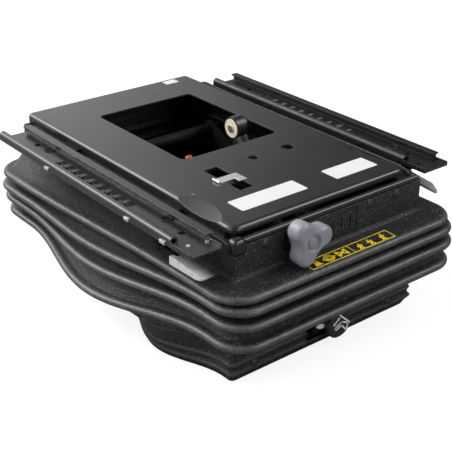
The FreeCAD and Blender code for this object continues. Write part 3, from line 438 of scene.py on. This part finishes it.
def fold_ridge(k):
    return Ring(FOLD_Z[k], FOLD_FRONT[k], FOLD_REAR, FOLD_HALF_FRONT[k], FOLD_HALF_REAR[k], FOLD_CORNER,
                FOLD_BULGE[k], FOLD_SAG[k], FOLD_DROP[k], FOLD_BULGE_Y, FOLD_BULGE_HALF)


def wall_ring(z, outwards=0.0):
    half = WALL_HALF + outwards
    return Ring(z, WALL_FRONT - outwards, WALL_REAR + outwards, half, half, WALL_CORNER + outwards,
                0.0, 0.0, 0.0, FOLD_BULGE_Y, FOLD_BULGE_HALF)


def skirt_ring(z, outwards, bulge):
    half = SKIRT_HALF + outwards
    return Ring(z, SKIRT_FRONT - outwards, SKIRT_REAR + outwards, half, half, SKIRT_CORNER + outwards,
                SKIRT_BULGE * bulge, 0.0, 0.0, SKIRT_BULGE_Y, SKIRT_BULGE_HALF)


# Profile of a fold's lip: inwards, up, and how far it is rubbed and painted greyer as a highlight

LIP_PROFILE = (
    (9.0, 4.6, 0.0), (5.6, 4.5, 0.3), (3.3, 4.1, 1.0), (1.6, 3.1, 0.9), (0.5, 1.6, 0.7), (0.0, 0.0, 0.7),
    (0.3, -1.7, 0.6), (1.3, -3.2, 0.4), (3.2, -4.2, 0.15), (8.0, -4.5, 0.0),
)
CREASE_PROFILE = ((17.5, 0.7), (18.6, 0.0), (17.5, -0.7))


def fold_rows():
    """Rings from the wall over the four folds to the skirt, and how far each is rubbed and painted greyer as
    a highlight.
    """
    rows, lips = [], []

    def put(ring, lip=0.0):
        rows.append(ring)
        lips.append(lip)

    for k in range(SEAM_STEPS + 1):
        turn = math.pi / 2 * k / SEAM_STEPS
        put(wall_ring(SEAM - SEAM_ROUND * math.sin(turn), SEAM_GAP + SEAM_ROUND * (1 - math.cos(turn))))
    start = wall_ring(SEAM - SEAM_ROUND, SEAM_GAP + SEAM_ROUND)
    end = fold_ridge(0).moved(12.0, 4.5)
    for share in (0.25, 0.5, 0.75, 1.0):
        put(start.towards(end, share))
    for k in range(4):
        ridge = fold_ridge(k)
        if k:
            put(ridge.moved(FOLD_DEPTH, 4.2))
        for inwards, up, lip in LIP_PROFILE:
            put(ridge.moved(inwards, up), lip)
        if k < 3:
            put(ridge.moved(FOLD_DEPTH, -4.0))
            crease = ridge.towards(fold_ridge(k + 1), 0.5)
            for inwards, up in CREASE_PROFILE:
                put(crease.moved(inwards, up))
    start = fold_ridge(3).moved(FOLD_DEPTH, -5.6)
    end = skirt_ring(FOLD_ANCHOR, 0.0, 1.7)
    for share in (0.0, 0.3, 0.6, 0.85, 1.0):
        put(start.towards(end, share))
    return rows, lips


def fraction_steps(step, half):
    """Front places at even distances, as shares of the straight part."""
    count = int(half // step)
    marks = [k * step for k in range(count + 1)]
    if half - marks[-1] > 0.3 * step:
        marks.append(half)
    else:
        marks[-1] = half
    return [m / half for m in marks]


# The wall has a window round the weight knob, and its top stands higher beside the rails

KNOB_X, KNOB_Z = -56.0, 158.0
KNOB_WINDOW_HALF, KNOB_WINDOW_LOW, KNOB_WINDOW_HIGH = 18.0, 143.0, 165.9
WALL_RAISE_LEFT, WALL_RAISE_RIGHT = 1.6, 7.5
WALL_LEVELS = (167.0, KNOB_WINDOW_HIGH, 160.0, 151.0, KNOB_WINDOW_LOW, 138.0, SEAM, WALL_BOTTOM)


def in_knob_window(p):
    at_front = p[1] < -180
    return at_front and abs(p[0] - KNOB_X) < KNOB_WINDOW_HALF and KNOB_WINDOW_LOW < p[2] < KNOB_WINDOW_HIGH


wall_lines = [wall_ring(z).points(fraction_steps(6.0, 133.0)) for z in WALL_LEVELS]
for line in wall_lines[:2]:
    beside = np.clip((line[:, 1] + 186.0) / 30.0, 0.0, 1.0) * np.clip((246.0 - line[:, 1]) / 20.0, 0.0, 1.0)
    rise = np.interp(line[:, 1], (140.0, 225.0), (WALL_RAISE_RIGHT, WALL_RAISE_RIGHT + 2.0))
    line[:, 2] += beside * np.where(line[:, 0] > 0, rise, WALL_RAISE_LEFT)
sheet("bellows_wall", wall_lines, [0.0] * len(wall_lines), "upper_frame", 3.0, in_knob_window)

rows, lips = fold_rows()
folds = sheet("bellows_folds", [row.points(fraction_steps(8.0, 150.0)) for row in rows], lips, "base", 2.6)
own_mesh(folds)

# The skirt with its two ridges: height, how far it stands out, and the share of the side bulge

SKIRT_PROFILE = (
    (46.6, 0.3, 1.7), (40.0, 0.0, 1.6), (32.5, 0.0, 1.45), (26.0, 0.0, 1.3), (23.2, 0.0, 1.25),
    (21.6, 1.2, 1.2), (20.0, 1.8, 1.2), (18.4, 1.2, 1.2), (16.8, 0.0, 1.2), (11.2, 0.0, 1.12),
    (9.5, 1.2, 1.1), (8.0, 1.8, 1.08), (6.4, 1.2, 1.05), (4.8, 0.0, 1.03), (0.6, 0.0, 1.0),
)
# How far each skirt line is rubbed and painted greyer as a highlight
SKIRT_LIPS = (0, 0, 0, 0, 0, 0.4, 0.7, 0.3, 0, 0, 0.4, 0.7, 0.3, 0, 0.2)
FLARE_LEVELS = (0.6, 4.0, 8.0, 13.0, 20.0, 26.0, 47.0)
FLARE_OUT = (-5.0, 1.0, 7.0, 3.0, 5.0, 2.0, 0.0)


def flared(line):
    """The skirt stands out a little at its right front corner, and tucks in below."""
    share = np.clip((-60.0 - line[:, 1]) / 80.0, 0.0, 1.0) * np.clip((line[:, 0] - 100.0) / 30.0, 0.0, 1.0)
    line[:, 0] += share * np.interp(line[:, 2], FLARE_LEVELS, FLARE_OUT)
    return line


def in_lower_window(p):
    return p[1] < -178 and -27.5 < p[0] < 2.5 and 9.5 < p[2] < 32.5


skirt_lines = [flared(skirt_ring(*m).points(fraction_steps(2.5, 127.5))) for m in SKIRT_PROFILE]
sheet("bellows_skirt", skirt_lines, SKIRT_LIPS, "base", 3.0, in_lower_window)
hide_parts("bellows")


# Springs

SPRING_TURNS, STEPS_A_TURN, WIRE_SIDES = 7, 28, 10
SPRING_APART, COIL_RADIUS, WIRE_RADIUS = 22.5, 9.2, 1.8
SPRING_FRONT, SPRING_LENGTH, SPRING_Z = -38.0, 96.0, 138.0


def tube(name, path, radius, material, body):
    """A round wire through the points of a path."""
    path = np.array(path, float)
    rows = []
    side = None
    for k, point in enumerate(path):
        along = path[min(k + 1, len(path) - 1)] - path[max(k - 1, 0)]
        along /= np.linalg.norm(along)
        if side is None:
            side = np.cross(along, (0.31, 0.17, 0.93))
        side = side - along * side.dot(along)
        side /= np.linalg.norm(side)
        other = np.cross(along, side)
        turns = [2 * math.pi * j / WIRE_SIDES for j in range(WIRE_SIDES)]
        rows.append([point + radius * (math.cos(a) * side + math.sin(a) * other) for a in turns])
    faces = grid(rows)
    last = (len(rows) - 1) * WIRE_SIDES
    faces.append(tuple(range(WIRE_SIDES)))
    faces.append(tuple(last + j for j in range(WIRE_SIDES)))
    return add_mesh(name, [p for row in rows for p in row], faces, material, body)


coils = []
for side in (-1, 1):
    steps = SPRING_TURNS * STEPS_A_TURN
    path = []
    for k in range(steps + 1):
        turn = 2 * math.pi * SPRING_TURNS * k / steps
        x = KNOB_X + side * SPRING_APART + COIL_RADIUS * math.cos(turn)
        path.append((x, SPRING_FRONT + SPRING_LENGTH * k / steps, SPRING_Z + COIL_RADIUS * math.sin(turn)))
    name = "spring_left" if side < 0 else "spring_right"
    coils.append(tube(name, path, WIRE_RADIUS, zinc, "upper_frame"))
for coil in coils:
    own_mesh(coil)
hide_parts("springs")


# Weight knob

KNOB_FRONT, KNOB_TURN = -219.0, 8.0
LOBE_OUT, LOBE_RADIUS, KNOB_WAIST = 16.5, 12.0, 17.0
LOBE_STEPS, WAIST_STEPS = 18, 12


def lobed(distance_in):
    """Points of the three-lobed outline, moved inwards, as x and z from its centre."""
    out, lobe, waist = LOBE_OUT, LOBE_RADIUS, KNOB_WAIST
    hollow = (out ** 2 + waist ** 2 - out * waist - lobe ** 2) / (2 * lobe + out - 2 * waist)
    far = waist + hollow
    points = []

    def polar(radius, degrees):
        a = math.radians(degrees + KNOB_TURN)
        return np.array((radius * math.cos(a), radius * math.sin(a)))

    for k in range(3):
        centre = polar(out, 120 * k)
        before, after = polar(far, 120 * k - 60), polar(far, 120 * k + 60)
        a0 = math.atan2(*(before - centre)[::-1])
        a1 = math.atan2(*(after - centre)[::-1])
        while a1 < a0:
            a1 += 2 * math.pi
        r = lobe - distance_in
        for j in range(LOBE_STEPS):
            a = a0 + (a1 - a0) * j / LOBE_STEPS
            points.append(centre + r * np.array((math.cos(a), math.sin(a))))
        following = polar(out, 120 * (k + 1))
        b0 = math.atan2(*(centre - after)[::-1])
        b1 = math.atan2(*(following - after)[::-1])
        while b1 > b0:
            b1 -= 2 * math.pi
        r = hollow + distance_in
        for j in range(WAIST_STEPS):
            b = b0 + (b1 - b0) * j / WAIST_STEPS
            points.append(after + r * np.array((math.cos(b), math.sin(b))))
    return np.array(points)


def weight_knob():
    """The knob from the dimple in its face, over the lobes, to the hollow back of its hub."""
    outline = lobed(0.0)
    angles = np.arctan2(outline[:, 1], outline[:, 0])

    def circle(radius, depth):
        y = KNOB_FRONT + depth
        return [(KNOB_X + radius * math.cos(a), y, KNOB_Z + radius * math.sin(a)) for a in angles]

    def contour(inwards, depth):
        return [(KNOB_X + x, KNOB_FRONT + depth, KNOB_Z + z) for x, z in lobed(inwards)]

    rows = [circle(0.05, 1.3), circle(4.6, 1.35), circle(5.4, 1.6), circle(6.0, 2.6), circle(7.2, 3.0),
            circle(8.6, 2.8), circle(9.4, 1.2), circle(10.0, 0.3), contour(5.2, 0.0), contour(4.0, 0.1),
            contour(3.1, 0.5), contour(1.3, 2.1), contour(0.4, 3.2), contour(0.0, 4.6), contour(0.1, 11.0),
            contour(0.3, 17.0), contour(1.0, 19.0), contour(2.4, 20.0), circle(12.0, 20.1),
            circle(11.2, 21.0), circle(11.0, 28.3), circle(5.4, 28.3)]
    points = [p for row in rows for p in row]
    faces = grid(rows)
    faces.append(tuple(range(len(outline))))
    knob = add_mesh("knob_cap", points, faces, knob_plastic, "weight_knob")
    knob.data.set_sharp_from_angle(angle=math.radians(32))
    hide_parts("weight_knob")


weight_knob()


# Flat marks

def strokes(name, lines, place, width, material, body, lift=0.25, thick=0.2):
    """Flat bars along lines, or filled outlines. place(u, v) gives a point and its normal."""
    points, faces = [], []

    def quad(corners):
        start = len(points)
        for level in (lift - thick, lift):
            for u, v in corners:
                point, normal = place(u, v)
                points.append(point + normal * level)
        n = len(corners)
        faces.append(tuple(start + j for j in reversed(range(n))))
        faces.append(tuple(start + n + j for j in range(n)))
        for j in range(n):
            k = (j + 1) % n
            faces.append((start + j, start + k, start + n + k, start + n + j))

    for line in lines:
        if line[0] == "fill":
            quad(line[1:])
            continue
        for (u0, v0), (u1, v1) in zip(line, line[1:]):
            du, dv = u1 - u0, v1 - v0
            size = math.hypot(du, dv)
            du, dv = du / size * width / 2, dv / size * width / 2
            quad([(u0 - du - dv, v0 - dv + du), (u0 - du + dv, v0 - dv - du),
                  (u1 + du + dv, v1 + dv - du), (u1 + du - dv, v1 + dv + du)])
    return add_mesh(name, points, faces, material, body, smooth=False)


DISC_SIDES, LOOP_SIDES = 16, 18
disc_turns = [2 * math.pi * k / DISC_SIDES for k in range(DISC_SIDES)]
loop_turns = [2 * math.pi * k / LOOP_SIDES for k in range(LOOP_SIDES + 1)]


def disc(u, v, radius):
    return ["fill"] + [(u + radius * math.cos(a), v + radius * math.sin(a)) for a in disc_turns]


def loop(u, v, radius):
    return [(u + radius * math.cos(a), v + radius * math.sin(a)) for a in loop_turns]


def level_place(z, x=0.0):
    """Places on a level face, with u along x and v along y."""
    def place(u, v):
        return np.array((x + u, v, z)), np.array((0.0, 0.0, 1.0))
    return place


def front_place(y, x=0.0, z=0.0):
    """Places on an upright face towards the front, with u along x and v along z."""
    def place(u, v):
        return np.array((x + u, y, z + v)), np.array((0.0, -1.0, 0.0))
    return place


# Strip of plain signs on the top fold

def shelf_place(u, v):
    y = -220.5 + v
    z = float(np.interp(y, (-222.0, -219.5, -215.0, -196.0), (127.9, 128.2, 128.3, 128.8)))
    return np.array((u, y, z)), np.array((0.0, 0.0, 1.0))


def figure(u, height, lean):
    """A plain person: a head, a body, two legs and two arms."""
    head = height * 0.13
    foot = 2.6
    top = foot + height
    hip = (u, foot + height * 0.42)
    chest = u + lean * 0.6
    return [
        disc(u + lean, top - head, head),
        [(u + lean * 0.7, top - 2 * head - 0.4), hip],
        [hip, (u - 1.9, 2.8)],
        [hip, (u + 2.2, 2.8)],
        [(chest - 2.6, foot + height * 0.52), (chest, top - 2.6 * head), (chest + 2.8, foot + height * 0.56)],
    ]


STRIP_LEFT, STRIP_RIGHT, STRIP_DIVIDER = -57.0, 67.0, 6.0
STRIP_LOW, STRIP_HIGH = 0.6, 17.0
strip_corners = [
    (STRIP_LEFT, STRIP_LOW), (STRIP_RIGHT, STRIP_LOW), (STRIP_RIGHT, STRIP_HIGH), (STRIP_LEFT, STRIP_HIGH),
]
frame_lines = [
    strip_corners + strip_corners[:1],
    [(STRIP_DIVIDER, STRIP_LOW), (STRIP_DIVIDER, STRIP_HIGH)],
]
outline_piece = strokes("strip_outline", frame_lines, shelf_place, 1.0, yellow_ink, "base")
dial_sign = [
    loop(-27, 8.6, 5.4), loop(-27, 8.6, 2.6), [(-34.6, 8.6), (-32.4, 8.6)], [(-21.6, 8.6), (-19.4, 8.6)],
]
spring_sign = [[(-14, 4.4), (-14, 13.2), (-1.5, 4.4), (-1.5, 13.2), (-14, 4.4)]]
weight_sign = [["fill", (-50, 3.4), (-40, 3.4), (-42.2, 9.4), (-47.8, 9.4)], loop(-45, 11.4, 1.9)]
signs = dial_sign + spring_sign + weight_sign
for u, size, lean in ((18, 10.0, 1.4), (35, 11.0, -0.8), (53, 12.0, 1.8)):
    signs += figure(u, size, lean)
signs_piece = strokes("strip_signs", signs, shelf_place, 2.4, yellow_ink, "base")
for piece in (outline_piece, signs_piece):
    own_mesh(piece)

# Sign on the lower knob

LOWER_KNOB_X, LOWER_KNOB_FRONT, LOWER_KNOB_Z = 7.5, -201.0, 25.5
knob_face = front_place(LOWER_KNOB_FRONT, LOWER_KNOB_X, LOWER_KNOB_Z)
seat_icon = [
    [(-1.0, 13.0), (14.5, -1.6)],
    [(-7.0, -5.6), (2.2, -1.4), (10.0, -10.6), (12.4, -1.6), (2.6, 3.0), (-8.6, -2.2), (-7.0, -5.6)],
    [(-8.4, 4.0), (-3.2, 8.2)],
    ["fill", (-11.6, 1.6), (-6.6, 2.2), (-9.6, 6.4)],
    ["fill", (-0.4, 10.4), (-5.2, 10.0), (-2.2, 5.8)],
]
strokes("lower_knob_sign", seat_icon, knob_face, 2.0, white_ink, "lower_knob")

# Clip in the lower window, matt and pale, with its bright reflection painted into its colour

CLIP_X, CLIP_FRONT, CLIP_Z = -13.5, -191.1, 27.0
CLIP_HALF, CLIP_RISE, CLIP_LEAN = 7.5, 3.0, 1.6
clip = ["fill"]
for a in disc_turns:
    rise = CLIP_RISE * math.sin(a) - CLIP_LEAN * math.cos(a)
    clip.append((CLIP_X + CLIP_HALF * math.cos(a), CLIP_Z + rise))
strokes("lower_clip", [clip], front_place(CLIP_FRONT), 1.0, clip_painted_reflection, "base", lift=1.2, thick=1.2)

# Notches and bolt holes as flat black marks of painted shade, with teeth and rings, on the floors of the seat
# channels

RAIL_CENTRE, RAIL_FLOOR = 170.0, 171.5
NOTCH_START, NOTCH_PITCH, NOTCH_LENGTH, NOTCH_COUNT = -50.0, 18.0, 11.0, 9
NOTCH_LEFT, NOTCH_RIGHT = -1.0, 7.0
TOOTH_WIDTH, TOOTH_GAP = 7.6, 1.2
RING_RADIUS, RING_WIDTH, RING_HOLE = 6.0, 1.7, 4.0
HOLE_RINGS = {
    "left": ((-161.3, 144.6), (-158.4, -99.5)),
    "right": ((175.3, 133.5), (174.7, -15.0), (176.5, -108.0)),
}
# The right rail's teeth take the paler ring paint as a painted highlight
for side, centre, tooth_start, tooth_paint in (
    ("left", -RAIL_CENTRE, -10.6, rail_paint),
    ("right", RAIL_CENTRE, -1.0, ring_paint),
):
    channel = level_place(RAIL_FLOOR, centre)
    marks, teeth = [], []
    for k in range(NOTCH_COUNT):
        y0 = NOTCH_START + k * NOTCH_PITCH
        y1 = y0 + NOTCH_LENGTH
        y2 = y0 + NOTCH_PITCH
        marks.append(["fill", (NOTCH_LEFT, y0), (NOTCH_RIGHT, y0), (NOTCH_RIGHT, y1), (NOTCH_LEFT, y1)])
        near, far = y1 + TOOTH_GAP, y2 - TOOTH_GAP
        tooth_end = tooth_start + TOOTH_WIDTH
        teeth.append(["fill", (tooth_start, near), (tooth_end, near), (tooth_end, far), (tooth_start, far)])
    # The notches are flat black sheets of painted shade
    strokes(side + "_notch_shades", marks, channel, 1.0, painted_hole_shade, side + "_rail",
            lift=0.12, thick=0.1)
    strokes(side + "_teeth", teeth, channel, 1.0, tooth_paint, side + "_rail",
            lift=1.3, thick=1.2)
for side, places in HOLE_RINGS.items():
    rings = [loop(u, v, RING_RADIUS) for u, v in places]
    hole_shades = [disc(u, v, RING_HOLE) for u, v in places]
    strokes(side + "_rings", rings, level_place(RAIL_FLOOR), RING_WIDTH, ring_paint, side + "_rail",
            lift=0.9, thick=0.8)
    # The holes are flat black discs of painted shade
    strokes(side + "_ring_hole_shades", hole_shades, level_place(RAIL_FLOOR), 1.0, painted_hole_shade, side + "_rail",
            lift=0.14, thick=0.1)

# Small rivet in the plate near its left front corner, paler than the plate as a painted highlight

PLATE_TOP = 180.0
strokes("plate_rivet", [disc(-111.4, -83.4, 2.4)], level_place(PLATE_TOP), 1.0, ring_paint, "upper_frame",
        lift=0.8, thick=0.8)

# Ribs moulded on the front wall beside the knob

wall_ribs = [
    [(-36.0, 163.5), (35.0, 163.5), (35.0, 133.0)],
    [(-36.0, 160.0), (31.5, 160.0)],
    [(-12.0, 136.0), (-12.0, 155.0)],
    [(-12.0, 136.0), (25.0, 136.0), (25.0, 155.0)],
    [(-1.0, 144.0), (-1.0, 155.0)],
    [(12.0, 144.0), (12.0, 155.0)],
]
strokes("wall_ribs", wall_ribs, front_place(WALL_FRONT), 1.3, rubber, "upper_frame",
        lift=1.0, thick=1.1)


# Block under the plate's left front corner

def corner_block():
    x0, x1, y0, y1, z0, z1 = -141.0, -123.5, -193.0, -178.0, 157.0, 175.0
    corners = [(x, y, z) for z in (z0, z1) for x, y in ((x0, y0), (x1, y0), (x1, y1), (x0, y1))]
    faces = [(0, 3, 2, 1), (4, 5, 6, 7)]
    faces += [(k, (k + 1) % 4, 4 + (k + 1) % 4, 4 + k) for k in range(4)]
    block = add_mesh("corner_block", corners, faces, gloss_plastic, "upper_frame",
                     smooth=False)
    edge = block.modifiers.new("round", "BEVEL")
    edge.width = 5.0 * MM
    edge.segments = 4
    apply_modifiers(block)
    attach(block, "upper_frame")


corner_block()


# Labels on the top plate

LABEL_THICKNESS, LABEL_GAP, CORNER_CUTS = 0.25, 0.02, 4


def label(name, u0, u1, v0, v1, radius=2.0):
    """A blank sticker with round corners, flat on the plate."""
    corners = []
    for cx, cy, start in ((u1 - radius, v1 - radius, 0), (u0 + radius, v1 - radius, 90),
                          (u0 + radius, v0 + radius, 180), (u1 - radius, v0 + radius, 270)):
        for k in range(CORNER_CUTS + 1):
            a = math.radians(start + 90 * k / CORNER_CUTS)
            corners.append((cx + radius * math.cos(a), cy + radius * math.sin(a)))
    n = len(corners)
    bottom = PLATE_TOP + LABEL_GAP
    points = [(u, v, z) for z in (bottom, bottom + LABEL_THICKNESS) for u, v in corners]
    faces = [tuple(reversed(range(n))), tuple(range(n, 2 * n))]
    faces += [(k, (k + 1) % n, n + (k + 1) % n, n + k) for k in range(n)]
    add_mesh(name, points, faces, paper, "upper_frame", smooth=False)


label("label_left", -94.0, -1.0, -148.0, -120.5)
label("label_right", 42.0, 107.0, -149.5, -122.0)
label("label_rear", 81.0, 102.0, 238.0, 251.0, radius=1.2)


# Floor

FLOOR_RADIUS, FLOOR_SIDES = 8.0, 64
floor_tree = material_tree("floor")
cloud = floor_tree.noise(2.0, 2.0)
tone = floor_tree.mix(floor_tree.span(cloud, 0.3, 0.7), (0.24, 0.24, 0.24), (0.235, 0.235, 0.235))
shade = floor_tree.add(
    "BsdfPrincipled", inputs={"Base Color": tone, "Roughness": 0.8, "Specular IOR Level": 0.1}
)
glow = floor_tree.add("Emission", inputs={"Color": (1, 1, 1, 1), "Strength": 0.84})
rays = floor_tree.add("LightPath").outputs["Is Camera Ray"]
added = floor_tree.add("AddShader", inputs={0: shade.outputs[0], 1: glow.outputs[0]})
both = floor_tree.add("MixShader", inputs={0: rays, 1: shade.outputs[0], 2: added.outputs[0]})
floor_tree.add("OutputMaterial", inputs={"Surface": both.outputs[0]})
floor_mesh = bpy.data.meshes.new("floor")
floor_turns = [2 * math.pi * k / FLOOR_SIDES for k in range(FLOOR_SIDES)]
floor_points = [(FLOOR_RADIUS * math.cos(a), FLOOR_RADIUS * math.sin(a), 0.0) for a in floor_turns]
floor_mesh.from_pydata(floor_points, [], [tuple(range(FLOOR_SIDES))])
floor = bpy.data.objects.new("floor", floor_mesh)
floor.location = (0, 0, -0.0004)
floor_mesh.materials.append(floor_tree.owner)
scene.collection.objects.link(floor)

# White surroundings, brighter towards a few directions

world = bpy.data.worlds.new("studio")
scene.world = world
sky = Tree(world, "Generated")


def glow_towards(axis, low, high, to_low, to_high):
    """Light that grows towards one direction."""
    facing = sky.add("VectorMath", {"operation": "DOT_PRODUCT"}, {0: sky.place, 1: axis}).outputs["Value"]
    return sky.span(facing, low, high, to_low, to_high)


across = glow_towards((-0.9, 1.0, 0.0), -0.02, 0.62, 0.06, 1.35)
behind = glow_towards((-0.41, 0.69, 0.60), 0.93, 0.985, 0.0, 7.5)
ahead = glow_towards((0.573, -0.38, 0.726), 0.94, 0.985, 0.0, 6.0)
above = glow_towards((0.0, 0.0, 1.0), 0.5, 1.0, 0.0, 0.12)
level = sky.math("ADD", sky.math("ADD", across, above), sky.math("ADD", behind, ahead))
studio = sky.add("Background", inputs={"Color": (1, 1, 1, 1), "Strength": level})
white = sky.add("Background", inputs={"Color": (1, 1, 1, 1), "Strength": 1.0})
seen = sky.add("LightPath").outputs["Is Camera Ray"]
mixed = sky.add("MixShader", inputs={0: seen, 1: studio.outputs[0], 2: white.outputs[0]})
sky.add("OutputWorld", inputs={"Surface": mixed.outputs[0]})


# Soft lights

def soft_box(name, place, target, size, power):
    data = bpy.data.lights.new(name, "AREA")
    data.shape = "RECTANGLE"
    data.size, data.size_y = size
    data.energy = power
    lamp = bpy.data.objects.new(name, data)
    lamp.location = place
    lamp.rotation_euler = (Vector(target) - Vector(place)).to_track_quat("-Z", "Y").to_euler()
    scene.collection.objects.link(lamp)


soft_box("key_light", (-1.5, 0.2, 1.5), (0, 0, 0.1), (1.0, 1.0), 5.0)
soft_box("fill_light", (0.3, -1.9, 1.0), (0, 0, 0.1), (1.4, 0.9), 12.0)
